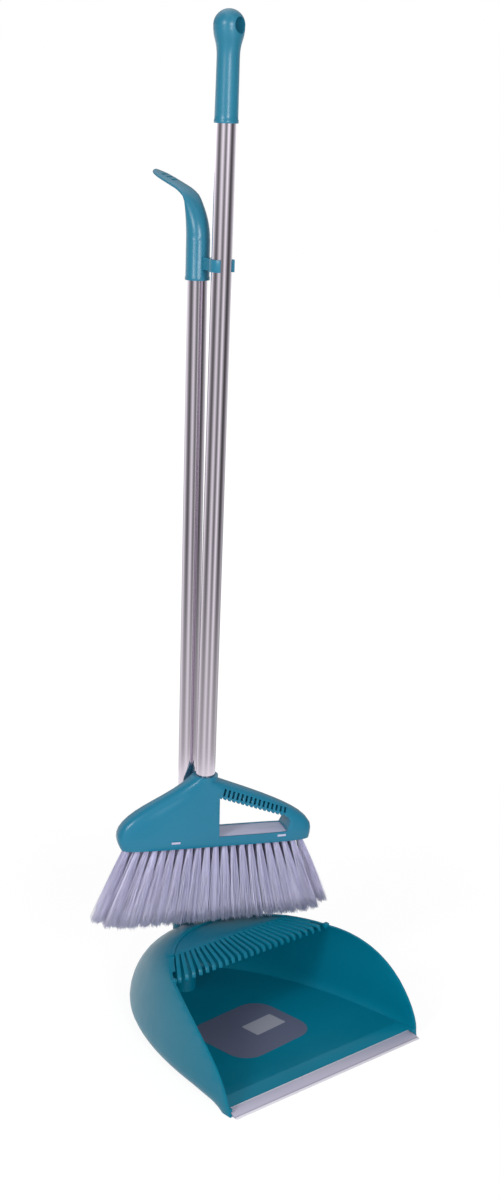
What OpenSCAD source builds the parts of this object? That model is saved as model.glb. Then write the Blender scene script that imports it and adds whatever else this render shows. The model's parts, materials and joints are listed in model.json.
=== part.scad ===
// Long-handled dust pan with a cleaning comb, and the broom that clips to its handle.
// Origin: centre of the pan's resting face. +Z up, the pan's mouth faces -Y, +X across the lip.

/* [Dust pan] */
// Width of the pan over its side walls
pan_w = 288; // [260:1:310]
// Depth of the pan from its lip to its rear
pan_depth = 307; // [290:1:330]
// Height of the rim around the hood
pan_h = 107; // [100:1:115]
// Wall thickness of the pan
pan_wall = 2.6; // [2.2:0.1:3.2]
// Height of the dust floor above the ground
floor_h = 8; // [7:0.5:10]
// Thickness of the floor sheet
floor_t = 2.5; // [2:0.1:3]
// Depth of the hood's flat top, from the lip to the back of its rim
rim_depth = 212; // [206:1:218]
// Distance from the lip to the hood's two front corners
corner_back = 136; // [130:1:142]
// Height of the hood's two front corners
corner_h = 99; // [94:1:100]
// How far the foot of the pan is drawn in
foot_round = 15; // [11:0.5:17]
// Height over which the foot is drawn in
foot_turn = 20; // [17:0.5:26]
// How far the walls come in at their top
rim_draw = 6.5; // [4:0.5:8]
// Thickness of the ribs under the floor
foot_rib = 2.2; // [1.8:0.1:3]
// Spacing of the ribs under the floor
foot_pitch = 45; // [38:1:52]

/* [Comb] */
// Distance from the lip to the roots of the comb's fingers
comb_root = 174; // [170:1:178]
// Number of fingers
finger_n = 23; // [17:1:24]
// Distance from the outer fingers to the crescent's corners
root_side = 4.2; // [3.6:0.1:6]
// Angle of the outermost fingers
fan = 36; // [28:1:37]
// Width of one finger
finger_w = 4.2; // [3.4:0.1:4.6]
// Thickness of one finger
finger_t = 2.6; // [2:0.1:3]
// Length of the hooked tip that points down
finger_hook = 7; // [5:0.5:9]
// Thickness of the comb's crescent plate
comb_t = 2; // [1.6:0.1:2.4]
// Radius of the pegs that hold the comb
peg_r = 2.2; // [1.8:0.1:2.8]

/* [Lip strip] */
// Width of the soft strip, front to back
strip_w = 18; // [16:0.5:20]
// Thickness of the strip at its rear edge
strip_t = 4.6; // [4.4:0.1:5]

/* [Handle tubes] */
// Outer diameter of both steel tubes
tube_d = 22; // [20:0.5:23]
// Wall of both steel tubes
tube_wall = 0.8; // [0.6:0.1:1.2]
// Distance from the lip to the pan tube's axis
tube_back = 256; // [252:1:260]
// Height of the pan tube's foot above the ground
pan_tube_foot = 22; // [20:1:26]
// Length of the pan tube
pan_tube_l = 862; // [820:1:863]
// Wall of the socket around the pan tube
socket_wall = 3.3; // [2.8:0.1:3.6]
// Height of the socket collar above the ground
collar_h = 93; // [91:0.5:97]

/* [Hook grip] */
// Depth that the pan tube reaches into the grip
grip_depth = 39; // [30:1:40]
// Length of the grip's straight sleeve
sleeve_l = 42; // [38:1:50]
// Outer diameter of the sleeve
sleeve_d = 26; // [25:0.5:27]
// Radius of the bend, on the hook's outer side
hook_r = 60; // [55:1:66]
// Angle of the hook's end above level
hook_rise = 18; // [14:1:22]
// Length of the hook's straight end
hook_l = 47; // [40:1:54]
// Thickness of the hook's end
hook_t = 6; // [5:0.5:7.5]

/* [Tube clip] */
// Height of the clip's middle above the grip's lower rim
clip_rise = 18.5; // [13:0.5:24]
// Distance between the axes of the two tubes at the clip
clip_reach = 39.5; // [38.5:0.5:42]
// Height of the clip
clip_h = 13; // [11:0.5:15]
// Thickness of the clip's jaws
clip_t = 2.8; // [2.4:0.1:3.2]
// Full angle of the clip's mouth
clip_mouth = 92; // [84:2:104]

/* [Broom stick] */
// Lean of the broom towards the front, in degrees
lean_front = 0.55; // [0.3:0.05:0.6]
// Lean of the broom to the right, in degrees
lean_side = 0.25; // [0:0.05:0.4]
// Height of the broom's socket rim
socket_z = 289; // [286:0.5:293]
// Depth that the broom tube reaches into its socket
socket_depth = 27; // [22:1:30]
// Height of the broom grip's lower rim
bgrip_foot = 1010; // [990:1:1030]
// Height of the broom grip's top
bgrip_top = 1124; // [1116:1:1140]
// Diameter of the grip's bulb
bulb_d = 33; // [31:0.5:35]
// Diameter of the grip's neck
neck_d = 24; // [23.6:0.1:25]
// Diameter of the grip's lower rim
bgrip_d = 26; // [25.6:0.1:27]
// Diameter of the hanging hole
hang_d = 17; // [14:0.5:18]
// Turn of the hanging hole away from straight ahead
hang_turn = 12; // [0:1:30]

/* [Broom head] */
// Turn of the head about the broom's axis, in degrees
head_yaw = -26; // [-27:1:-20]
// Height of the head's lower rim
rim_z = 206; // [204:0.5:208]
// Reach of the head to the left of the tube's axis
reach_left = 102; // [96:1:108]
// Reach of the head to the right of the tube's axis
reach_right = 127; // [122:1:132]
// Thickness of the head at its rim, front to back
head_t = 37; // [36:0.5:38]
// Height of the head's thickest part above its rim
shoulder_h = 14; // [13:0.5:16]
// Wall thickness of the head
head_wall = 2.4; // [2:0.1:2.8]
// Bend of the left shoulder: out from the socket and down from its top
left_bend = [27.5, 27];
// Bend of the right shoulder: out from the socket and down from the shoulder's top
right_bend = [69, 26];
// Rise of the left end before it leans in
left_rise = 30; // [26:1:34]
// Rise of the right end before it leans in
right_rise = 16; // [14:1:18]
// Drop of the right shoulder's top below the socket's rim
right_drop = 6; // [5:0.5:8]
// Height of the hand opening's sill above the rim
sill_h = 12.5; // [11.5:0.5:14]
// Number of grooves in the hand bar
groove_n = 15; // [11:1:16]
// Pitch of the grooves
groove_pitch = 5.6; // [5.2:0.1:5.9]
// Width of one groove
groove_w = 2.8; // [2:0.1:3.2]
// Width of the snap windows
window_w = 10.5; // [8:0.5:12]
// Height of the snap windows
window_h = 2.8; // [2.2:0.1:3.4]

/* [Bristles] */
// Number of tufts in a row
tuft_n = 21; // [15:1:21]
// Number of rows
row_n = 4; // [4:1:4]
// Radius of a tuft at the block
tuft_r = 3; // [2.6:0.1:3.3]
// Radius of a tuft at its tip
tip_r = 4; // [3.4:0.1:4.1]
// Height of the bristle tips above the ground
tip_z = 110; // [109.5:0.5:116]
// Spread of the fan: width at the tips over width at the block
fan_ratio = 1.36; // [1.2:0.01:1.38]
// Spread of the rows: distance at the tips over distance at the block
row_ratio = 1.2; // [1.18:0.01:1.22]

/* [Fits] */
// Gap between parts that slip together
slip = 0.1; // [0.05:0.05:0.15]
// Running gap between the broom tube and what it turns or slides in
running = 0.05; // [0.03:0.01:0.08]
// End gap below the broom tube in its socket
end_gap = 0.4; // [0.3:0.1:0.6]

/* [Hidden] */
$fn = 64;
eps = 0.01;
big = 400;
pan_teal = "#2f8aa3";
grip_teal = "#3a8ca8";
lavender = "#a5a0c8";
steel = "#c9c4cc";

// Pan
dome_power = 1.58;
foot_power = 2.4;
lip_share = 0.15;
rear_share = 2 / 3;
lip_y = -(pan_depth - rear_share * foot_round) / 2;
tube_y = lip_y + tube_back;
plan_front = 20;
side_a = pan_w / 2;
rear_b = pan_depth - plan_front;
rim_b = rim_depth - plan_front;
lip_half = side_a - lip_share * foot_round - pan_wall;
plan_steps = 44;
foot_levels = [floor_h, floor_h + 3, floor_h + 7];
dome_steps = 12;
ledge_drop = 3.5;
ledge_t = 2.5;
ledge_z = pan_h - ledge_drop;
recess_a = side_a - rim_draw - 2;
recess_b = rim_b + 4;
crease_back = 34;
ramp_low = 4.2;
tongue_in = 10;
ear = [6, 5, 3];
socket_r = tube_d / 2 + socket_wall;
spigot_l = 10;
spigot_r = tube_d / 2 - 2.4;
peg_x = 52;
root_step = 0.2;
root_w = 2 * (recess_a * sqrt(1 - pow((comb_root - plan_front) / recess_b, 2)) - root_side);
peg_back = 12;

// Handles
tube_r = tube_d / 2;
sleeve_r = sleeve_d / 2;
grip_foot = pan_tube_foot + pan_tube_l - grip_depth;
clip_z = grip_foot + clip_rise;
bead_h = 3;
bead = 0.5;
bend_z = grip_foot + sleeve_l;
ferrule_l = 30;
seat_w = 9;

// Broom head
block_h = sill_h - 1;
bar_u = [14, 100];
bar_low = [264, 233.5];
window_u = [-36.5, 89];
window_z = rim_z + 6.6;
boss_r = tube_r + 3.4;
head_c = (reach_right - reach_left) / 2;
tuft_margin = 13.5;
head_half = (reach_right + reach_left) / 2;
tuft_span = 2 * (head_half - tuft_margin);
hole_depth = 8;
tuft_sides = 12;
sweep = -6;
row_inset = 2.3;
row_pitch = 2 * (head_t / 2 - head_wall - tuft_r - row_inset) / (row_n - 1);
bar_web = 8;
bevel_run = 34;
bevel_rise = 20;

// ---------- shared shapes ----------

// A closed solid through rings of points, all with the same number of points, counter-clockwise.
module loft(rings) {
    n = len(rings[0]);
    top = (len(rings) - 1) * n;
    sides = [for (i = [0 : len(rings) - 2], j = [0 : n - 1])
        let (a = i * n + j, b = i * n + (j + 1) % n)
        each [[a, a + n, b + n], [a, b + n, b]]];
    foot = [for (j = [0 : n - 1]) j];
    head = [for (j = [n - 1 : -1 : 0]) top + j];
    polyhedron(points = [for (r = rings) each r], faces = concat([foot], sides, [head]));
}

function bezier(p, t) =
    pow(1 - t, 3) * p[0] + 3 * pow(1 - t, 2) * t * p[1] + 3 * (1 - t) * t * t * p[2] + t * t * t * p[3];

function curve(p, steps) = [for (i = [0 : steps]) bezier(p, i / steps)];

module tube(r, wall, length) {
    difference() {
        cylinder(r = r, h = length);
        translate([0, 0, -1]) cylinder(r = r - wall, h = length + 2);
    }
}

// A side profile in (distance from the lip, height), spread across the pan.
module across(width) {
    translate([-width / 2, lip_y, 0]) rotate([90, 0, 90]) linear_extrude(width) children();
}

// ---------- dust pan ----------

// How far back the pan reaches at height z, on a wall that stands "in" inside the outer skin.
function dome(z, in) =
    let (h = (z - foot_turn) / (pan_h - foot_turn - in))
    (rear_b - rim_b - in) * pow(1 - pow(min(max(h, 0), 1), dome_power), 1 / dome_power) + rim_b;

function draw(z) = rim_draw * pow(min(1, max(0, (z - pan_h / 2) / (ledge_z - pan_h / 2))), 3);

function foot_in(z) = foot_round * pow(max(0, 1 - z / foot_turn), foot_power);

// Outline of the pan at one height: half an ellipse behind, straight sides to the lip in front.
// "tuck" draws it in, by little at the lip and by all of it from there back.
function pan_ring(a, b, z, front, tuck = 0) = concat(
    [for (k = [0 : plan_steps])
        let (t = 180 * k / plan_steps, in = tuck * (lip_share + (1 - lip_share) * pow(min(1, 5 * sin(t)), 0.6)))
        [(a - in) * cos(t), lip_y + plan_front + (b - rear_share * in) * sin(t), z]],
    [[-a + tuck * lip_share, lip_y + front, z], [a - tuck * lip_share, lip_y + front, z]]);

function skin_ring(z, in, front) =
    pan_ring(side_a - draw(z) - in, dome(z, in), z, front, foot_in(z));

function dome_levels(top, steps) =
    [for (i = [0 : steps]) foot_turn + (top - foot_turn) * (1 - pow(1 - i / steps, 1.5))];

module pan_skin() {
    loft([for (z = concat([0, 2, 5, 9, 14], dome_levels(pan_h, dome_steps))) skin_ring(z, 0, 0)]);
}

module pan_hollow() {
    levels = concat(foot_levels, dome_levels(ledge_z - ledge_t, dome_steps));
    loft([for (z = levels) skin_ring(z, pan_wall, -pan_wall)]);
}

// The middle of the pan's wall, where ribs inside it end.
module rib_limit() {
    levels = concat([floor_h - 2], foot_levels, dome_levels(ledge_z - 1, 8));
    loft([for (z = levels) skin_ring(z, pan_wall / 2, 0)]);
}

// Everything in front of the side walls' curved front edges, and over the comb.
module mouth_cut() {
    edge = curve([[9, 3], [0.1 * corner_back, 0.45 * corner_h], [0.51 * corner_back, 0.97 * corner_h],
        [corner_back, corner_h]], 14);
    across(big) polygon(concat([[-big, -big], [7, -1]], edge,
        [[comb_root + 1.5, ledge_z + 1], [comb_root + 1.5, big], [-big, big]]));
}

module ramp_cut() {
    across(2 * lip_half - 4) polygon([
        [-big, ramp_low], [strip_w, ramp_low], [crease_back, floor_h], [crease_back, floor_h + 1],
        [-big, floor_h + 1]]);
}

// The step and tongue that the lip strip clips over.
module strip_seat() {
    across(2 * lip_half) polygon([
        [-big, -1], [strip_w, -1], [strip_w, 1.1], [strip_w - tongue_in, 1.1], [strip_w - tongue_in, 2.1],
        [strip_w, 2.9], [strip_w, big], [-big, big]]);
}

module floor_hollow() {
    in = pan_wall + foot_round;
    difference() {
        translate([0, 0, -1]) linear_extrude(floor_h - floor_t + 1) polygon([
            for (p = pan_ring(side_a - in, rear_b - in, 0, 0)) [p[0], p[1]]]);
        translate([-big / 2, lip_y - 1, -2]) cube([big, crease_back + 3, floor_h]);
        for (x = [-2 : 2])
            translate([x * foot_pitch - foot_rib / 2, lip_y, -2]) cube([foot_rib, pan_depth, floor_h]);
        for (v = [0.36, 0.66])
            translate([-side_a, lip_y + v * pan_depth, -2]) cube([pan_w, foot_rib, floor_h]);
        translate([0, tube_y, -2]) cylinder(r = socket_r, h = floor_h);
    }
}

module comb_recess() {
    difference() {
        loft([for (z = [ledge_z, pan_h + 1]) pan_ring(recess_a, recess_b, z, 0)]);
        translate([-big / 2, lip_y, 0]) cube([big, corner_back + 6, big]);
    }
}

// The ledge under the comb ends just behind the roots of the fingers.
module finger_gap() {
    intersection() {
        translate([0, 0, ledge_z - ledge_t - 1]) linear_extrude(big) polygon([
            for (p = pan_ring(recess_a, recess_b, 0, 0)) [p[0], p[1]]]);
        translate([-big / 2, lip_y, 0]) cube([big, comb_root + 1.5, big]);
    }
}

module peg_holes(r) {
    for (x = [-1, 1])
        translate([x * peg_x, lip_y + comb_root + peg_back, ledge_z - ledge_t - 1])
            cylinder(r = r, h = ledge_t + 2);
}

module socket() {
    translate([0, tube_y, 1]) cylinder(r = socket_r, h = collar_h - 1);
    intersection() {
        rib_limit();
        union() {
            translate([-foot_rib / 2, tube_y, floor_h - 1]) cube([foot_rib, big, collar_h - floor_h - 18]);
            for (a = [-1, 1]) translate([0, tube_y, floor_h - 1]) rotate([90, 0, 90 + a * 65])
                translate([0, 0, -foot_rib / 2]) linear_extrude(foot_rib)
                    polygon([[0, 0], [socket_r + 12, 0], [socket_r, 26], [0, 26]]);
        }
    }
}

module ears() {
    x = (side_a - draw(corner_h)) * sqrt(1 - pow((corner_back - plan_front) / dome(corner_h, 0), 2));
    for (s = [-1, 1])
        translate([s * (x - ear[0] / 2 + 0.5) - ear[0] / 2, lip_y + corner_back - 2, corner_h - ear[2]])
            cube([ear[0], ear[1], 2 * ear[2] - 1]);
}

module pan_body() {
    color(pan_teal) difference() {
        union() {
            difference() {
                pan_skin();
                pan_hollow();
                ramp_cut();
                mouth_cut();
                comb_recess();
                finger_gap();
                floor_hollow();
            }
            socket();
            ears();
        }
        strip_seat_region();
        translate([0, tube_y, pan_tube_foot]) cylinder(r = tube_r + slip, h = big);
        translate([0, tube_y, pan_tube_foot - spigot_l - 1]) cylinder(r = spigot_r + slip, h = big);
        peg_holes(peg_r + slip);
    }
}

// The seat is cut only between the side walls, in front of the step.
module strip_seat_region() {
    intersection() {
        strip_seat();
        translate([-big / 2, lip_y - 1, -1]) cube([big, strip_w + 1, strip_t + slip + 1]);
    }
}

module finger(a) {
    reach = (comb_root - corner_back) / cos(a);
    drop = ledge_z + comb_t - corner_h - 2;
    rotate([0, 0, -a]) rotate([90, 0, -90]) translate([0, 0, -finger_w / 2]) linear_extrude(finger_w)
        polygon([
            [-3, root_step], [-3, comb_t - root_step], [0, comb_t - root_step], [reach - 5, comb_t - drop],
            [reach - 1.5, comb_t - drop - 1.5], [reach, comb_t - drop - 5], [reach, comb_t - drop - finger_hook],
            [reach - finger_t, comb_t - drop - finger_hook], [reach - finger_t, comb_t - drop - 4.5],
            [reach - finger_t - 3, comb_t - drop - finger_t], [3, comb_t - finger_t], [0.5, root_step]]);
}

module comb_plate() {
    gap = 0.3;
    color(pan_teal) {
        intersection() {
            translate([0, 0, ledge_z]) linear_extrude(comb_t) polygon([
                for (p = pan_ring(recess_a - gap, recess_b - gap, 0, 0)) [p[0], p[1]]]);
            translate([-big / 2, lip_y + comb_root, 0]) cube([big, big, big]);
        }
        for (i = [0 : finger_n - 1])
            let (s = 2 * i / (finger_n - 1) - 1)
            translate([s * root_w / 2, lip_y + comb_root, ledge_z]) finger(-s * fan);
        for (x = [-1, 1])
            translate([x * peg_x, lip_y + comb_root + peg_back, ledge_z - ledge_t])
                cylinder(r = peg_r, h = ledge_t + 1);
    }
}

module lip_strip() {
    in = slip + 0.2;
    color(lavender) across(2 * (lip_half - in)) polygon([
        [0, 0], [0, 0.7], [1, 1.4], [strip_w - slip, strip_t], [strip_w - slip, 2.9 + slip],
        [strip_w - tongue_in - slip, 2.1 + slip], [strip_w - tongue_in - slip, 1.1 - slip],
        [strip_w - slip, 1.1 - slip], [strip_w - slip, 0]]);
}

// ---------- pan handle ----------

module pan_tube() {
    color(steel) translate([0, tube_y, pan_tube_foot]) tube(tube_r, tube_wall, pan_tube_l);
}

// Threaded plug in the foot of a tube, with its spigot below. z = 0 is the tube's end.
module ferrule() {
    translate([0, 0, -spigot_l]) cylinder(r = spigot_r, h = spigot_l + eps);
    cylinder(r = tube_r - tube_wall - slip / 2, h = ferrule_l);
}

module pan_ferrule() {
    color("white") translate([0, tube_y, pan_tube_foot]) ferrule();
}

// One section of the hook: half width, half thickness, swept to an angle from upright.
function hook_section(c, angle, w, t, n = 32) = [for (k = [0 : n - 1])
    let (a = 360 * k / n, x = w * cos(a), s = t * sin(a))
    [x, c[0] + s * cos(angle), c[1] + s * sin(angle)]];

// The hook's rear face stays upright until the bend has thinned to the hook's own thickness.
function hook_sections() =
    let (
        c = [hook_r - sleeve_r, bend_z],
        end = 90 - hook_rise,
        half = function (t) (hook_r - min(hook_r - hook_t, (hook_r - sleeve_d) / cos(t))) / 2,
        wide = function (u) sleeve_r - 0.1 - 2.5 * u * u)
    concat(
        [for (t = [0 : 6 : end]) let (r = hook_r - half(t))
            hook_section([c[0] - r * cos(t), c[1] + r * sin(t)], -t, wide(t / end), half(t))],
        [for (l = [0.25, 0.5, 0.7, 0.85, 0.95, 1])
            let (d = l * hook_l, r = hook_r - hook_t / 2, n = wide(1) * sqrt(1 - pow(max(0, (l - 0.5) / 0.53), 2.4)))
            hook_section([c[0] - r * cos(end) + d * sin(end), c[1] + r * sin(end) + d * cos(end)], -end, n,
                hook_t / 2 - l * l * 0.8)]);

module hook_grip() {
    slot = [3.2, 8];
    color(grip_teal) translate([0, tube_y, 0]) difference() {
        union() {
            translate([0, 0, grip_foot]) cylinder(r = sleeve_r, h = sleeve_l + 1);
            translate([0, 0, grip_foot]) cylinder(r = sleeve_r + bead, h = bead_h);
            loft(hook_sections());
        }
        translate([0, 0, grip_foot - 1]) cylinder(r = tube_r + slip, h = grip_depth + 1.5);
        for (i = [0 : 2]) translate([0, hook_r - sleeve_r + 14 + i * 9, bend_z]) rotate([hook_rise, 0, 0])
            translate([-slot[1] / 2, -slot[0] / 2, 0]) cube([slot[1], slot[0], big]);
    }
}

// ---------- broom placement ----------

// The broom stands along its own leaning axis, which passes through the clip's middle.
module in_broom() {
    translate([0, tube_y - clip_reach, clip_z]) rotate([lean_front, lean_side, 0])
        translate([0, 0, -clip_z]) children();
}

module in_head() {
    in_broom() rotate([0, 0, head_yaw]) children();
}

module tube_clip() {
    r = tube_r + running;
    arm = clip_reach - sleeve_r;
    color(grip_teal) difference() {
        union() {
            in_broom() translate([0, 0, clip_z - clip_h / 2]) cylinder(r = r + clip_t, h = clip_h);
            translate([-seat_w / 2, tube_y - clip_reach + r, clip_z - clip_h / 2])
                cube([seat_w, arm - r - slip, clip_h]);
        }
        in_broom() translate([0, 0, clip_z - clip_h]) {
            cylinder(r = r, h = 2 * clip_h);
            linear_extrude(2 * clip_h) polygon([[0, 0],
                [-2 * tube_d * sin(clip_mouth / 2), -2 * tube_d * cos(clip_mouth / 2)],
                [2 * tube_d * sin(clip_mouth / 2), -2 * tube_d * cos(clip_mouth / 2)]]);
        }
    }
}

// ---------- broom stick ----------

module broom_tube() {
    foot = socket_z - socket_depth;
    color(steel) in_broom() translate([0, 0, foot]) tube(tube_r, tube_wall, bgrip_top - bulb_d - 4 - foot);
}

module broom_grip() {
    bulb_r = bulb_d / 2;
    bulb_z = bgrip_top - bulb_r;
    neck_z = bgrip_top - 49;
    join = curve([[bulb_r, bulb_z], [bulb_r, bulb_z - 16], [neck_d / 2, neck_z + 18], [neck_d / 2, neck_z]], 8);
    color(grip_teal) in_broom() difference() {
        union() {
            translate([0, 0, bulb_z]) sphere(r = bulb_r);
            rotate_extrude() polygon(concat(
                [[0, bgrip_foot], [bgrip_d / 2, bgrip_foot], [bgrip_d / 2, bgrip_foot + 3],
                [bgrip_d / 2 - bead, bgrip_foot + 4]],
                [for (i = [8 : -1 : 1]) join[i]],
                [[bulb_r - 0.01, bulb_z], [0, bulb_z]]));
        }
        translate([0, 0, bgrip_foot - 1]) cylinder(r = tube_r + slip, h = bgrip_top - bulb_d - 3 - bgrip_foot);
        translate([0, 0, bulb_z]) rotate([90, 0, hang_turn]) cylinder(r = hang_d / 2, h = 2 * bulb_d, center = true);
    }
}

module broom_ferrule() {
    color("white") in_broom() translate([0, 0, socket_z - socket_depth]) ferrule();
}

// ---------- broom head ----------

// Reach of the head at height z, on a shoulder line that falls from the socket to the head's end.
function reach_at(line, z, low = 0, high = 1, n = 14) =
    let (mid = (low + high) / 2, p = bezier(line, mid))
    n == 0 ? p[0] : p[1] > z ? reach_at(line, z, low, mid, n - 1) : reach_at(line, z, mid, high, n - 1);

function left_line() = let (foot = rim_z + shoulder_h) [
    [reach_left, foot], [reach_left - 1.5, foot + left_rise],
    [boss_r + left_bend[0], socket_z - left_bend[1]], [boss_r, socket_z]];

function right_line() = let (foot = rim_z + shoulder_h, top = socket_z - right_drop) [
    [reach_right, foot], [reach_right - 2, foot + right_rise],
    [boss_r + right_bend[0], top - right_bend[1]], [boss_r, top]];

// One level of the head: a rounded boat at its rim, a circle at its socket, "in" inside the outer skin.
function head_ring(z, in) =
    let (
        rise = (z - rim_z) / (socket_z - rim_z),
        power = 2 + 3 * pow(1 - rise, 1.6),
        foot = pow(max(0, 1 - (z - rim_z) / shoulder_h), 2),
        l = (z < rim_z + shoulder_h ? reach_left : reach_at(left_line(), z)) - 4 * foot - in,
        r = (z < rim_z + shoulder_h ? reach_right : z > socket_z - right_drop ? boss_r : reach_at(right_line(), z)) - 2 * foot - in,
        t = head_t / 2 + (boss_r - head_t / 2) * max(0, (z - rim_z - shoulder_h) / (socket_z - rim_z - shoulder_h))
            - foot - in)
    [for (k = [0 : 47]) let (c = cos(7.5 * k), s = sin(7.5 * k))
        [(r - l) / 2 + (r + l) / 2 * sign(c) * pow(abs(c), 2 / power), t * sign(s) * pow(abs(s), 2 / power), z]];

module head_solid(in, low, high, steps = 14) {
    loft([for (k = [0 : steps]) head_ring(low + (high - low) * k / steps, in)]);
}

module hand_opening() {
    sill = rim_z + sill_h;
    rotate([90, 0, 0]) translate([0, 0, -head_t]) linear_extrude(2 * head_t) polygon([
        [bar_u[0], sill - 0.5], [bar_u[0], bar_low[0]], [bar_u[1] - 4, bar_low[1] + 1.6], [bar_u[1], bar_low[1] - 4],
        [bar_u[1] - 5, sill - 0.5]]);
}

// Grooves across both faces of the hand bar, and notches along its underside.
module grooves() {
    slope = atan((bar_low[0] - bar_low[1]) / (bar_u[1] - bar_u[0]));
    for (i = [0 : groove_n - 1], s = [-1, 1])
        translate([bar_u[0] + 3.5 + i * groove_pitch * cos(slope), 0, bar_low[0] - 1 - i * groove_pitch * sin(slope)])
            rotate([0, slope, 0]) translate([-groove_w / 2, s * (bar_web / 2 + big / 2) - big / 2, 0]) {
                translate([0, 0, 3.4]) cube([groove_w, big, 8.5 - i * 0.2]);
                translate([0, 0, -1.5]) cube([groove_w, big, 3]);
            }
}

module windows(depth, gap) {
    for (u = window_u, s = [-1, 1])
        translate([u - window_w / 2 + gap, s < 0 ? -head_t : head_t / 2 - depth, window_z + gap])
            cube([window_w - 2 * gap, s < 0 ? head_t / 2 + depth : head_t, window_h - 2 * gap]);
}

module head_shell() {
    color(pan_teal) in_head() difference() {
        union() {
            head_solid(0, rim_z, socket_z);
            translate([0, 0, rim_z + sill_h]) cylinder(r = boss_r, h = socket_z - rim_z - sill_h);
        }
        difference() {
            head_solid(head_wall, rim_z - 1, socket_z - head_wall);
            translate([0, 0, rim_z + sill_h]) cylinder(r = boss_r, h = big);
            translate([bar_u[0] - head_wall, -head_t, rim_z + sill_h]) cube([big, 2 * head_t, big]);
        }
        hand_opening();
        grooves();
        windows(head_wall + 2, 0);
        translate([0, 0, socket_z - socket_depth - end_gap]) cylinder(r = tube_r + running, h = big);
        translate([0, 0, socket_z - socket_depth - spigot_l - 1]) cylinder(r = spigot_r + running, h = big);
    }
}

function tuft_u(i) = head_c + (i / (tuft_n - 1) - 0.5) * tuft_span;
function row_y(row) = (row - (row_n - 1) / 2) * row_pitch;
// The two outer tufts stay out of the outer rows, where the block narrows.
function row_in(row) = abs(row - (row_n - 1) / 2) > 1 ? 1 : 0;

module bristle_block() {
    gap = head_wall + slip;
    color(lavender) in_head() difference() {
        union() {
            head_solid(gap, rim_z + 1, rim_z + block_h, 3);
            intersection() {
                windows(head_wall + 3, slip);
                head_solid(0.4, rim_z, rim_z + block_h, 3);
            }
        }
        for (row = [0 : row_n - 1], i = [row_in(row) : tuft_n - 1 - row_in(row)])
            translate([tuft_u(i), row_y(row), rim_z]) cylinder(r = tuft_r + slip, h = hole_depth, $fn = 24);
    }
}

module tuft_anchors() {
    plate = [2 * tuft_r - 0.4, 0.5, 1.6];
    color("gold") in_head() for (row = [0 : row_n - 1], i = [row_in(row) : tuft_n - 1 - row_in(row)])
        translate([tuft_u(i) - plate[0] / 2, row_y(row) - plate[1] / 2, rim_z + hole_depth - plate[2]])
            cube(plate);
}

// One tuft goes straight into its hole and leans outwards to its place in the fan below.
module tuft(i, row) {
    u = tuft_u(i);
    edge = tuft_span / 2 - abs(u - head_c);
    foot = tip_z + (edge < bevel_run ? bevel_rise * pow(1 - edge / bevel_run, 2) : 0);
    share = (rim_z - foot) / (rim_z - tip_z);
    end = head_c + sweep + (u - head_c) * fan_ratio;
    ring = function (x, y, r, z) [for (k = [0 : tuft_sides - 1])
        let (a = 360 * k / tuft_sides) [x + r * cos(a), y + r * sin(a), z]];
    loft([
        ring(u + (end - u) * share, row_y(row) * (1 + (row_ratio - 1) * share), tuft_r + (tip_r - tuft_r) * share, foot),
        ring(u, row_y(row), tuft_r, rim_z),
        ring(u, row_y(row), tuft_r, rim_z + hole_depth - 1.7)]);
}

module tuft_row(row) {
    color(lavender) in_head()
        for (i = [row_in(row) : tuft_n - 1 - row_in(row)]) tuft(i, row);
}

pan_body();
comb_plate();
lip_strip();
pan_tube();
pan_ferrule();
hook_grip();
tube_clip();
broom_tube();
broom_grip();
broom_ferrule();
head_shell();
bristle_block();
tuft_anchors();
tuft_row(0);  // tufts_row_1
tuft_row(1);  // tufts_row_2
tuft_row(2);  // tufts_row_3
tuft_row(3);  // tufts_row_4
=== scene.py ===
"""Looks of the long-handled dust pan and its broom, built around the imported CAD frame."""

import json
import math
import random

import bpy
from mathutils import Matrix, Vector


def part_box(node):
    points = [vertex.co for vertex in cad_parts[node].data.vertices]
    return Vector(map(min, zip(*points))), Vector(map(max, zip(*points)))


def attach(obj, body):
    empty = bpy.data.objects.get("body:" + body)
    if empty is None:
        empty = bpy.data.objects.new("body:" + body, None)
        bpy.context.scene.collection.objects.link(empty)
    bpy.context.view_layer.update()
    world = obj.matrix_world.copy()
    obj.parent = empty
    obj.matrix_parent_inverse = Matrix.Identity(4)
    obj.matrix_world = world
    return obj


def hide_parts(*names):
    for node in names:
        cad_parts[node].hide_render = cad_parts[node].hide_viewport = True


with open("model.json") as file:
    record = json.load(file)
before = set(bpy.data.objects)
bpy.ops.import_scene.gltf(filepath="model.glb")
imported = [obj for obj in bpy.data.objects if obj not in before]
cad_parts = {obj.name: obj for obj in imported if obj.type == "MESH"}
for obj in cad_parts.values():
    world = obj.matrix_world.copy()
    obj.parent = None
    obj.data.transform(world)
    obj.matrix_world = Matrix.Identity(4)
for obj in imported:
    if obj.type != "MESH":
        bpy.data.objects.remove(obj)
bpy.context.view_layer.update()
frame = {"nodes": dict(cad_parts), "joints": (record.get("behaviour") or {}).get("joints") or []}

scene = bpy.context.scene
scene.view_settings.view_transform = "Standard"

# ---------------------------------------------------------------- places that the frame gives

PAN_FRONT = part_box("pan_body")[0][1]
TUBE_FRONT, TUBE_BACK = (corner[1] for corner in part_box("pan_tube"))
TUBE_Y = (TUBE_FRONT + TUBE_BACK) / 2
HEAD_JOINT = next(joint for joint in frame["joints"] if joint["name"] == "head_turn")

# ---------------------------------------------------------------- camera

# The photo's camera, fitted to the two tubes and to mirrored corners of the pan.
CAMERA_POS = Vector((-1.32431, -1.46649, 1.05757))
AZIMUTH, PITCH, ROLL = math.radians(-41.9214), math.radians(15.4585), math.radians(1.5859)
FOCAL_PX, IMAGE_H = 1893.61, 1200


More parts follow.
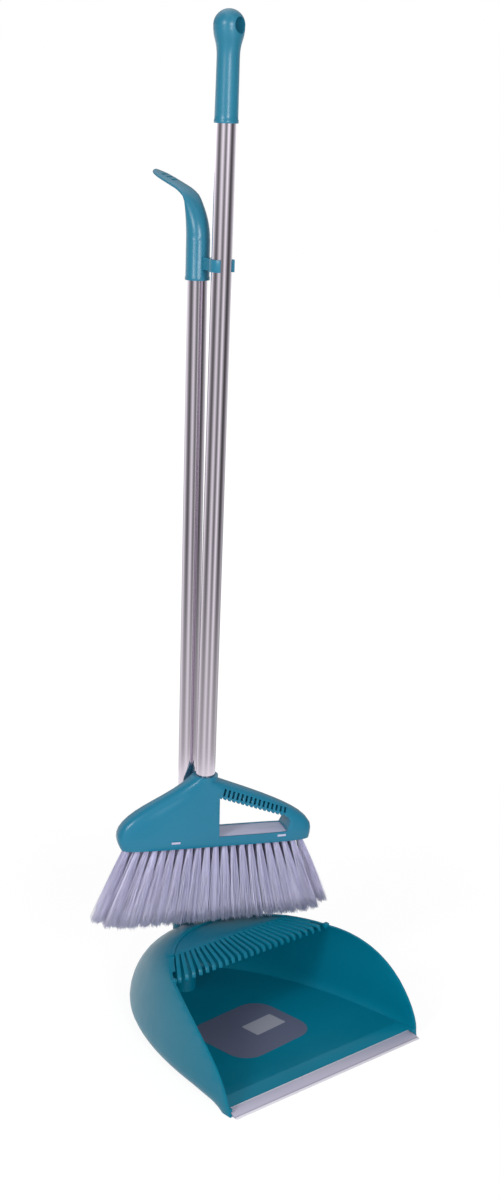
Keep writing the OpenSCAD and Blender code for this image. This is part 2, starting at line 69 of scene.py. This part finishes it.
def view_axes():
    """The camera's right, up and forward directions, and the level direction to its right."""
    heading = Vector((-math.sin(AZIMUTH), math.cos(AZIMUTH), 0))
    forward = heading * math.cos(PITCH) - Vector((0, 0, math.sin(PITCH)))
    level = forward.cross(Vector((0, 0, 1))).normalized()
    over = level.cross(forward)
    right = level * math.cos(ROLL) + over * math.sin(ROLL)
    up = over * math.cos(ROLL) - level * math.sin(ROLL)
    return right, up, forward, level


RIGHT, UP, FORWARD, LEVEL = view_axes()


def photo_camera():
    data = bpy.data.cameras.new("camera")
    data.sensor_fit = "VERTICAL"
    data.angle = 2 * math.atan(IMAGE_H / 2 / FOCAL_PX)
    data.clip_start = 0.05
    data.clip_end = 50
    obj = bpy.data.objects.new("camera", data)
    obj.matrix_world = Matrix.Translation(CAMERA_POS) @ Matrix((RIGHT, UP, -FORWARD)).transposed().to_4x4()
    scene.collection.objects.link(obj)
    scene.camera = obj


photo_camera()

# ---------------------------------------------------------------- materials


def linear(r, g, b):
    """An sRGB colour from 0 to 255, as a shader wants it."""
    shares = (c / 255 for c in (r, g, b))
    return tuple(c / 12.92 if c <= 0.04045 else ((c + 0.055) / 1.055) ** 2.4 for c in shares)


def scaled(colour, factor):
    return tuple(c * factor for c in colour)


class Nodes:
    """A node tree, with small helpers to fill it."""

    def __init__(self, tree):
        self.tree = tree

    def node(self, kind, **values):
        """A new node. A value goes to the setting of that name, or else to the input, with _ for a space."""
        node = self.tree.nodes.new(kind)
        for key, value in values.items():
            if hasattr(node, key):
                setattr(node, key, value)
            else:
                node.inputs[key.replace("_", " ")].default_value = value
        return node

    def link(self, out, socket):
        self.tree.links.new(out, socket)

    def remap(self, value, low, high, to_low, to_high):
        remap = self.node("ShaderNodeMapRange", From_Min=low, From_Max=high, To_Min=to_low, To_Max=to_high)
        self.link(value, remap.inputs["Value"])
        return remap.outputs["Result"]

    def combine(self, operation, first, second):
        combined = self.node("ShaderNodeMath", operation=operation)
        self.link(first, combined.inputs[0])
        self.link(second, combined.inputs[1])
        return combined.outputs["Value"]

    def seen_rays(self):
        """1 for the rays that show the background: straight, mirrored or through glass."""
        path = self.node("ShaderNodeLightPath").outputs
        shown = self.combine("MAXIMUM", path["Is Camera Ray"], path["Is Glossy Ray"])
        return self.combine("MAXIMUM", shown, path["Is Transmission Ray"])

    def surface(self, output, share, plain, shown):
        """Ends the tree with a mix: the share that is shown, and the rest plain."""
        mix = self.node("ShaderNodeMixShader")
        self.link(share, mix.inputs["Fac"])
        self.link(plain, mix.inputs[1])
        self.link(shown, mix.inputs[2])
        self.link(mix.outputs["Shader"], self.tree.nodes[output].inputs["Surface"])


class Shader(Nodes):
    """A material made from a Principled shader."""

    def __init__(self, name, colour, roughness, metallic=0.0):
        self.material = bpy.data.materials.new(name)
        self.material.use_nodes = True
        super().__init__(self.material.node_tree)
        self.shader = self.tree.nodes["Principled BSDF"]
        self.set("Base Color", (*colour, 1))
        self.set("Roughness", roughness)
        self.set("Metallic", metallic)

    def set(self, socket, value):
        self.shader.inputs[socket].default_value = value

    def feed(self, socket, out):
        self.link(out, self.shader.inputs[socket])

    def noise(self, scale, detail, stretch=(1, 1, 1)):
        """Smooth noise, fixed to the object. Low values of stretch draw it out along that axis."""
        mapping = self.node("ShaderNodeMapping", Scale=stretch)
        noise = self.node("ShaderNodeTexNoise", Scale=scale, Detail=detail)
        self.link(self.node("ShaderNodeTexCoord").outputs["Object"], mapping.inputs["Vector"])
        self.link(mapping.outputs["Vector"], noise.inputs["Vector"])
        return noise.outputs["Fac"]

    def uneven(self, noise, low, high):
        """The middle of a noise, spread between two values."""
        return self.remap(noise, 0.3, 0.7, low, high)

    def bump(self, height, strength, distance):
        bump = self.node("ShaderNodeBump", Strength=strength, Distance=distance)
        self.link(height, bump.inputs["Height"])
        self.feed("Normal", bump.outputs["Normal"])

    def between(self, value, dark, light):
        """A colour from dark at 0 to light at 1."""
        mix = self.node("ShaderNodeMix", data_type="RGBA")
        mix.inputs["A"].default_value = (*dark, 1)
        mix.inputs["B"].default_value = (*light, 1)
        self.link(value, mix.inputs["Factor"])
        return mix.outputs["Result"]

    def darkened(self, colour, distance):
        """The colour with the shade that gathers where another surface is closer than the distance."""
        closed, open_sky, most = 0.15, 0.65, 0.55
        near = self.node("ShaderNodeAmbientOcclusion", samples=12, Distance=distance)
        shade = self.node("ShaderNodeMix", data_type="RGBA", blend_type="MULTIPLY")
        shade.inputs["B"].default_value = (0, 0.02, 0.04, 1)
        self.link(self.remap(near.outputs["AO"], closed, open_sky, most, 0), shade.inputs["Factor"])
        self.link(colour, shade.inputs["A"])
        return shade.outputs["Result"]


# Moulded surfaces: the scales of the noises, how far tone and roughness swing, and the height of the waves.
TONE_SCALE, GLOSS_SCALE, WAVE_SCALE = 9, 60, 45
TONE_SWING, GLOSS_SWING = 0.04, 0.1
WAVE_HEIGHT = 0.0004


def plastic(name, colour, roughness, grain=0.02, hollow=None, gloss=0.5):
    """Moulded plastic: uneven tone and gloss, a faint wavy surface, and shade in hollows up to that width."""
    look = Shader(name, colour, roughness)
    dark, light = scaled(colour, 1 - TONE_SWING), scaled(colour, 1 + TONE_SWING)
    smooth, dull = roughness * (1 - GLOSS_SWING), roughness * (1 + GLOSS_SWING)
    tone = look.between(look.uneven(look.noise(TONE_SCALE, 2), 0, 1), dark, light)
    look.feed("Base Color", look.darkened(tone, hollow) if hollow else tone)
    look.feed("Roughness", look.uneven(look.noise(GLOSS_SCALE, 4), smooth, dull))
    look.bump(look.noise(WAVE_SCALE, 2), grain, WAVE_HEIGHT)
    look.set("Specular IOR Level", gloss)
    return look.material


def soft_lip():
    """Soft strip: dull grey, painted highlights on both edges, and painted shade in a groove in front."""
    edge_highlight, groove_shade, flat = linear(222, 220, 230), linear(160, 156, 177), linear(182, 179, 199)
    look = Shader("lip_rubber", flat, 0.3)
    place = look.node("ShaderNodeSeparateXYZ")
    bands = look.node("ShaderNodeValToRGB")
    stops = bands.color_ramp.elements
    # Bands from front to back: painted highlight, painted shade of the groove, the strip's own grey, painted
    # highlight.
    stops[0].color = stops[1].color = (*edge_highlight, 1)
    for position, colour in ((0.1, edge_highlight), (0.13, groove_shade), (0.19, groove_shade), (0.22, flat), (0.88, flat)):
        stops.new(position).color = (*colour, 1)
    look.link(look.node("ShaderNodeTexCoord").outputs["Generated"], place.inputs["Vector"])
    look.link(place.outputs["Y"], bands.inputs["Fac"])
    look.feed("Base Color", bands.outputs["Color"])
    look.bump(look.noise(WAVE_SCALE, 2), 0.05, WAVE_HEIGHT)
    return look.material


def drawn_steel():
    """Drawn and polished tube, with a gloss that changes in fine lines along it."""
    smooth, dull, lengthwise = 0.1, 0.14, (1, 1, 0.02)
    look = Shader("tube_steel", linear(222, 213, 225), dull, metallic=1.0)
    look.feed("Roughness", look.uneven(look.noise(90, 3, lengthwise), smooth, dull))
    return look.material


def anchor_metal():
    look = Shader("anchor_metal", linear(190, 160, 96), 0.35, metallic=1.0)
    look.bump(look.noise(300, 2), 0.1, 0.0002)
    return look.material


def soft_filament():
    """Soft pale filaments, each with its own tone, painted shade between and beside the tufts, and painted
    light at the tips.
    """
    dark, light = linear(192, 189, 226), linear(228, 226, 250)
    look = Shader("bristle", light, 0.4)
    # The tone attribute carries each filament's own tone together with its painted shade and painted light.
    tone = look.node("ShaderNodeAttribute", attribute_name="tone").outputs["Fac"]
    look.feed("Base Color", look.between(tone, dark, light))
    return look.material


PAN_LOOK = plastic("pan_plastic", linear(0, 116, 142), 0.32, gloss=0.2)
COMB_LOOK = plastic("comb_plastic", linear(6, 113, 139), 0.33, hollow=0.006, gloss=0.2)
GRIP_LOOK = plastic("grip_plastic", linear(36, 122, 151), 0.32, grain=0.005)
HEAD_LOOK = plastic("head_plastic", linear(34, 120, 151), 0.2, grain=0.015, hollow=0.0035, gloss=0.3)
LIP_LOOK = soft_lip()
BLOCK_LOOK = plastic("block_plastic", linear(196, 196, 222), 0.5)
INSERT_LOOK = plastic("insert_plastic", linear(222, 222, 226), 0.45)
STEEL_LOOK = drawn_steel()
ANCHOR_LOOK = anchor_metal()
BRISTLE_LOOK = soft_filament()

# ---------------------------------------------------------------- CAD pieces

# The pan's floor, and the crease where its ramp meets it, with the slack that finds its points.
FLOOR_TOP, RAMP_RUN = 0.008, 0.0265
CREASE_Y, CREASE_TOP = PAN_FRONT + RAMP_RUN, FLOOR_TOP + 0.0005
SLACK = 0.0001

WELD_DISTANCE = 1e-6
BEVEL_ANGLE, SMOOTH_ANGLE = math.radians(35), math.radians(32)


def on_crease(point):
    return abs(point.y - CREASE_Y) < SLACK and point.z < CREASE_TOP


def dress(name, material, bevel=0.0, crease=None):
    """Gives a CAD node its material, small rounded edges and a smooth shade between its creases."""
    obj = frame["nodes"][name]
    if crease:
        points = [vertex.co for vertex in obj.data.vertices]
        for edge in obj.data.edges:
            edge.use_edge_sharp = all(crease(points[i]) for i in edge.vertices)
    obj.data.materials.clear()
    obj.data.materials.append(material)
    obj.modifiers.new("weld", "WELD").merge_threshold = WELD_DISTANCE
    if bevel:
        rounding = obj.modifiers.new("bevel", "BEVEL")
        rounding.width = bevel
        rounding.segments = 2
        rounding.limit_method = "ANGLE"
        rounding.angle_limit = BEVEL_ANGLE
        rounding.harden_normals = False
    obj.modifiers.new("edges", "EDGE_SPLIT").split_angle = SMOOTH_ANGLE
    obj.data.polygons.foreach_set("use_smooth", [True] * len(obj.data.polygons))


dress("pan_body", PAN_LOOK, bevel=0.0005, crease=on_crease)
dress("comb_plate", COMB_LOOK, bevel=0.0004)
dress("lip_strip", LIP_LOOK, bevel=0.0004)
dress("pan_tube", STEEL_LOOK)
dress("pan_ferrule", INSERT_LOOK)
dress("hook_grip", GRIP_LOOK, bevel=0.0004)
dress("tube_clip", GRIP_LOOK, bevel=0.0004)
dress("broom_tube", STEEL_LOOK)
dress("broom_grip", GRIP_LOOK, bevel=0.0005)
dress("broom_ferrule", INSERT_LOOK)
dress("head_shell", HEAD_LOOK, bevel=0.0006)
dress("bristle_block", BLOCK_LOOK, bevel=0.0003)
dress("tuft_anchors", ANCHOR_LOOK)


def new_piece(name, verts, faces, material):
    """A new object from lists of its corners and faces."""
    mesh = bpy.data.meshes.new(name)
    mesh.from_pydata(verts, [], faces)
    mesh.materials.append(material)
    obj = bpy.data.objects.new(name, mesh)
    scene.collection.objects.link(obj)
    return obj


# ---------------------------------------------------------------- bristles

# Heights and places below are in the head's own frame: x along the head, y across it and z up the broom's
# axis. It leans with the axis and is turned from the pan at rest. The joint is at the top of the socket.
REST_TURN = math.radians(-26)
SOCKET_Z = 0.262

# Tufts: how many, where their holes are, the rim above them, and how far down and out their tips reach.
TUFT_N, ROW_N = 21, 4
TUFT_R, TUFT_MARGIN = 0.003, 0.0135
ROW_PITCH, ROW_RATIO = 0.0072, 1.14
REACH_LEFT, REACH_RIGHT = 0.102, 0.127
HEAD_C = (REACH_RIGHT - REACH_LEFT) / 2
TUFT_SPAN = 2 * ((REACH_RIGHT + REACH_LEFT) / 2 - TUFT_MARGIN)
RIM_Z, TIP_Z = 0.206, 0.1108
TIP_SLOPE = 0.018
BEVEL_RUN, BEVEL_RISE = 0.030, 0.0075
FAN_RATIO, SWEEP = 1.365, -0.001

# Filaments: how many in a tuft, how thick, how far they spread, stray and wave (its angles are in radians),
# how much shorter than the tuft they are, their tones, and their painted shade and painted light.
FILAMENTS = 150
FILAMENT_R, TAPER = 0.0003, 0.25
STEPS, SIDES = 5, 3
HOLE_DEPTH, HOLE_PLAY = 0.001, 0.0004
TIP_ALONG, TIP_ACROSS, SPREAD = 0.0068, 0.0045, 1.8
STRAY = 0.0009
WAVE, WAVE_START, WAVE_LENGTH = 0.0006, 6, 5
LEAST_SHORT, MOST_SHORT, OUTER_SHORT = -0.0002, 0.004, 0.003
TONE, TONE_RANGE = 0.78, 0.2
# Painted shade at the edge of a tuft and on one side of it, and painted light towards the tips.
OUTER_SHADE, SIDE_SHADE, TIP_LIGHT = 0.55, 0.35, 0.5
FIRST_SEED = 50


def head_frame():
    """The pose of the head's own frame, from its joint."""
    axis = Vector(HEAD_JOINT["axis"])
    aside = Matrix.Rotation(math.atan2(axis.x, axis.z), 4, "Y")
    ahead = Matrix.Rotation(-math.asin(axis.y), 4, "X")
    turned = aside @ ahead @ Matrix.Rotation(REST_TURN, 4, "Z")
    return Matrix.Translation(HEAD_JOINT["pos_m"]) @ turned @ Matrix.Translation((0, 0, -SOCKET_Z))


HEAD = head_frame()


def tuft_place(i, row):
    """A tuft's place along and across the head, the height of its tip, and the tip's place along the head."""
    along = HEAD_C + (i / (TUFT_N - 1) - 0.5) * TUFT_SPAN
    across = (row - (ROW_N - 1) / 2) * ROW_PITCH
    edge = TUFT_SPAN / 2 - abs(along - HEAD_C)
    bevel = BEVEL_RISE * (1 - edge / BEVEL_RUN) ** 2 if edge < BEVEL_RUN else 0
    foot = TIP_Z + TIP_SLOPE * (along - HEAD_C) + bevel
    end = HEAD_C + SWEEP + (along - HEAD_C) * FAN_RATIO
    return along, across, foot, end


def filament(rng, along, across, foot, end):
    """Points from a filament's root to its tip, the angle of its side of the tuft, and its tone with painted
    shade.
    """
    out = math.sqrt(rng.random())
    angle = rng.random() * 2 * math.pi
    low = foot + rng.uniform(LEAST_SHORT, MOST_SHORT) + OUTER_SHORT * out * rng.random()
    share = (RIM_Z - low) / (RIM_Z - TIP_Z)
    root = Vector((along, across, RIM_Z + HOLE_DEPTH))
    tip = Vector((along + (end - along) * share, across * (1 + (ROW_RATIO - 1) * share), low))
    aside_root = Vector((math.cos(angle), math.sin(angle), 0)) * out * (TUFT_R - HOLE_PLAY)
    aside_tip = Vector((
        TIP_ALONG * out * math.cos(angle) + rng.gauss(0, STRAY),
        TIP_ACROSS * out * math.sin(angle) + rng.gauss(0, STRAY), 0))
    wave = Vector((rng.gauss(0, WAVE), rng.gauss(0, WAVE), 0))
    start = rng.random() * WAVE_START
    # The tone varies at random, with painted shade at the tuft's edge and on one side of it.
    tone = rng.gauss(TONE, TONE_RANGE) - OUTER_SHADE * out * out - SIDE_SHADE * out * math.cos(angle)
    points = []
    for step in range(STEPS + 1):
        t = step / STEPS
        centre = root.lerp(tip, t) + aside_root.lerp(aside_tip, 1 - (1 - t) ** SPREAD)
        points.append(centre + wave * math.sin(start + WAVE_LENGTH * t) * t)
    return points, angle, tone


def add_strand(points, angle, tone, verts, faces, tones_and_shading):
    """Adds a thin tapering rod round the points, closed at its tip."""
    base = len(verts)
    for step, centre in enumerate(points):
        t = step / STEPS
        radius = FILAMENT_R * (1 - TAPER * t)
        for side in range(SIDES):
            turn = angle + side * 2 * math.pi / SIDES
            verts.append(centre + Vector((radius * math.cos(turn), radius * math.sin(turn), 0)))
            # Painted light: the filaments grow lighter towards their tips.
            tones_and_shading.append(min(1, max(0, tone + TIP_LIGHT * t)))
    for step in range(STEPS):
        for side in range(SIDES):
            here = base + SIDES * step + side
            beside = base + SIDES * step + (side + 1) % SIDES
            faces.append((here, here + SIDES, beside + SIDES, beside))
    faces.append(tuple(base + SIDES * STEPS + side for side in reversed(range(SIDES))))


def bristle_row(row):
    """All filaments of one row as one mesh. The outer rows have no tuft at their ends."""
    rng = random.Random(FIRST_SEED + row)
    verts, faces, tones_and_shading = [], [], []
    left_out = 1 if row in (0, ROW_N - 1) else 0
    for i in range(left_out, TUFT_N - left_out):
        place = tuft_place(i, row)
        for _ in range(FILAMENTS):
            add_strand(*filament(rng, *place), verts, faces, tones_and_shading)
    obj = new_piece(f"bristles_row_{row + 1}", verts, faces, BRISTLE_LOOK)
    obj.data.transform(HEAD)
    obj.data.attributes.new("tone", "FLOAT", "POINT").data.foreach_set("value", tones_and_shading)
    obj.data.polygons.foreach_set("use_smooth", [True] * len(faces))
    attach(obj, "head")
    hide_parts(f"tufts_row_{row + 1}")


for row in range(ROW_N):
    bristle_row(row)

# ---------------------------------------------------------------- blank label

LABEL_TURN = math.radians(4)
LABEL_AT, LABEL_SIZE, LABEL_CORNER = (-0.008, -0.0225), (0.116, 0.098), 0.026
FIELD_AT, FIELD_SIZE, FIELD_CORNER = (0.012, -0.022), (0.046, 0.026), 0.002
FILM = 0.0001
ARC_STEPS = 6


def rounded(centre, extent, corner, z):
    """Points of a rounded rectangle that lies flat at height z, turned as the label is."""
    cos, sin = math.cos(LABEL_TURN), math.sin(LABEL_TURN)
    points = []
    for quarter, (side, end) in enumerate(((1, 1), (-1, 1), (-1, -1), (1, -1))):
        for step in range(ARC_STEPS + 1):
            angle = math.radians(90 * (quarter + step / ARC_STEPS))
            x = side * (extent[0] / 2 - corner) + corner * math.cos(angle)
            y = end * (extent[1] / 2 - corner) + corner * math.sin(angle)
            points.append((centre[0] + x * cos - y * sin, centre[1] + x * sin + y * cos, z))
    return points


def sticker(name, outline, material):
    """A film on the pan's floor."""
    count = len(outline)
    verts = outline + [(x, y, z + FILM) for x, y, z in outline]
    faces = [tuple(reversed(range(count))), tuple(range(count, 2 * count))]
    for here in range(count):
        following = (here + 1) % count
        faces.append((here, following, count + following, count + here))
    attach(new_piece(name, verts, faces, material), "pan")


LABEL_LOOK = plastic("label_film", linear(98, 102, 126), 0.34, grain=0.0)
FIELD_LOOK = plastic("label_field", linear(158, 160, 174), 0.4, grain=0.0)
sticker("blank_label", rounded(LABEL_AT, LABEL_SIZE, LABEL_CORNER, FLOOR_TOP), LABEL_LOOK)
sticker("blank_field", rounded(FIELD_AT, FIELD_SIZE, FIELD_CORNER, FLOOR_TOP + FILM), FIELD_LOOK)

# ---------------------------------------------------------------- floor and world

WHITE = (1, 1, 1, 1)
FLOOR_HALF, FLOOR_Z = 6, -0.0005
FLOOR_GLOW, WORLD_LIGHT = 1.07, 0.45

# Up to the near distance the floor shows this share of its glow, and from the far one on all of it.
SHADOW_NEAR, SHADOW_FAR, NEAR_SHARE = 0.5, 1.5, 0.85


def floor():
    """A pale matt floor. It glows white to the rays that show it, but less near the set, for its shadow."""
    look = Shader("floor", (0.86, 0.86, 0.87), 0.9)
    away = look.node("ShaderNodeVectorMath", operation="LENGTH")
    look.link(look.node("ShaderNodeTexCoord").outputs["Object"], away.inputs[0])
    fade = look.remap(away.outputs["Value"], SHADOW_NEAR, SHADOW_FAR, NEAR_SHARE, 1)
    share = look.combine("MULTIPLY", look.seen_rays(), fade)
    glow = look.node("ShaderNodeEmission", Color=WHITE, Strength=FLOOR_GLOW)
    look.surface("Material Output", share, look.shader.outputs["BSDF"], glow.outputs["Emission"])
    corners = [(x * FLOOR_HALF, y * FLOOR_HALF, FLOOR_Z) for x, y in ((-1, -1), (1, -1), (1, 1), (-1, 1))]
    new_piece("floor", corners, [(0, 1, 2, 3)], look.material)


def soft_world():
    """A dim even light all round, which is white where it shows."""
    scene.world = bpy.data.worlds.new("world")
    scene.world.use_nodes = True
    nodes = Nodes(scene.world.node_tree)
    light = nodes.tree.nodes["Background"]
    light.inputs["Color"].default_value = WHITE
    light.inputs["Strength"].default_value = WORLD_LIGHT
    white = nodes.node("ShaderNodeBackground", Color=WHITE, Strength=1)
    plain, shown = light.outputs["Background"], white.outputs["Background"]
    nodes.surface("World Output", nodes.seen_rays(), plain, shown)


floor()
soft_world()

# ---------------------------------------------------------------- lamps and cards

SET_MIDDLE = Vector((0, 0, 0.5))
LAMP_DISTANCE, LAMP_SIZE = 2.6, (0.5, 0.7)

# The lamps leave the polished tubes to the cards, which give them their reflections.
tubes = bpy.data.collections.new("tubes")
for name in ("pan_tube", "broom_tube"):
    tubes.objects.link(frame["nodes"][name])
for entry in tubes.collection_objects:
    entry.light_linking.link_state = "EXCLUDE"


def lamp(name, azimuth, height, power):
    """A soft box at an angle from the camera's own side, positive to its right, aimed at the set's middle."""
    to_camera = Vector((CAMERA_POS.x, CAMERA_POS.y, 0)).normalized()
    angle = math.radians(azimuth)
    place = (to_camera * math.cos(angle) + LEVEL * math.sin(angle)) * LAMP_DISTANCE
    place.z = height
    light = bpy.data.lights.new(name, "AREA")
    light.shape = "RECTANGLE"
    light.size, light.size_y = LAMP_SIZE
    light.energy = power
    obj = bpy.data.objects.new(name, light)
    obj.location = place
    obj.rotation_euler = (SET_MIDDLE - place).to_track_quat("-Z", "Y").to_euler()
    obj.light_linking.receiver_collection = tubes
    scene.collection.objects.link(obj)


lamp("lamp_right", azimuth=18, height=1.35, power=31)
lamp("lamp_left", azimuth=-36, height=1.7, power=26)

# The cards stand in a ring round both tubes, so its centre is a little to the broom's side of the pan's tube.
WALL_R, WALL_H = 0.8, 2.4
BROOM_SIDE = 0.02
WALL_CENTRE = Vector((0, TUBE_Y - BROOM_SIDE, 0))

# Round the ring: the angle from the camera's side in degrees, and the shade there.
CARDS = [
    (-180, 0.9), (-152, 1.1), (-121, 0.83), (-102, 0.48), (-86, 0.22), (-71, 0.11), (-57, 0.14), (-46, 0.33),
    (-34, 0.62), (-22, 0.76), (-11, 0.44), (0, 0.18), (11, 0.18), (22, 0.5), (34, 0.88), (46, 0.52),
    (59, 0.2), (71, 0.06), (86, 0.09), (102, 0.22), (121, 0.45), (152, 0.73), (180, 0.9)]

# Up the ring: the height, how bright the shades are there, and how far they fade to one pale shade.
LEVELS = [
    (0, 1.2, 0.5), (0.15, 1.2, 0.35), (0.28, 1.2, 0.12), (0.38, 1.2, 0), (0.8, 1.2, 0), (1.0, 1.6, 0),
    (1.15, 0.35, 0), (WALL_H, 2.0, 0)]
PALE_SHADE = 0.8

# The low cards behind the set are dim, so that the hood has no glare.
BEHIND_ANGLE, BEHIND_H, BEHIND_SHARE = 140, 0.4, 0.4


def card_shade(azimuth, shade, z, strength, fade):
    """The shade of the ring at one angle and height."""
    if abs(azimuth) > BEHIND_ANGLE and z < BEHIND_H:
        return shade * strength * BEHIND_SHARE
    return shade * strength * (1 - fade) + PALE_SHADE * fade


def card_look():
    """Shines with the mesh's own shade."""
    material = bpy.data.materials.new("studio_wall")
    material.use_nodes = True
    nodes = Nodes(material.node_tree)
    nodes.tree.nodes.remove(nodes.tree.nodes["Principled BSDF"])
    glow = nodes.node("ShaderNodeEmission")
    shade = nodes.node("ShaderNodeAttribute", attribute_name="shade")
    nodes.link(shade.outputs["Fac"], glow.inputs["Color"])
    nodes.link(glow.outputs["Emission"], nodes.tree.nodes["Material Output"].inputs["Surface"])
    return material


def studio_wall():
    """Grey cards that only reflections see. They put the dark lines into the polished tubes."""
    to_camera = CAMERA_POS - WALL_CENTRE
    facing = math.atan2(to_camera.y, to_camera.x)
    rows = len(LEVELS)
    verts, faces, shades = [], [], []
    for i, (azimuth, shade) in enumerate(CARDS):
        angle = facing + math.radians(azimuth)
        for k, (z, strength, fade) in enumerate(LEVELS):
            verts.append(WALL_CENTRE + Vector((WALL_R * math.cos(angle), WALL_R * math.sin(angle), z)))
            shades.append(card_shade(azimuth, shade, z, strength, fade))
            if i and k:
                here = i * rows + k
                faces.append((here - rows - 1, here - 1, here, here - rows))
    lid = tuple(range(rows - 1, len(verts), rows))
    faces.append(lid)
    obj = new_piece("studio_wall", verts, faces, card_look())
    obj.data.attributes.new("shade", "FLOAT", "POINT").data.foreach_set("value", shades)
    obj.visible_camera = False
    obj.visible_diffuse = False
    obj.visible_shadow = False
    obj.visible_transmission = False


studio_wall()
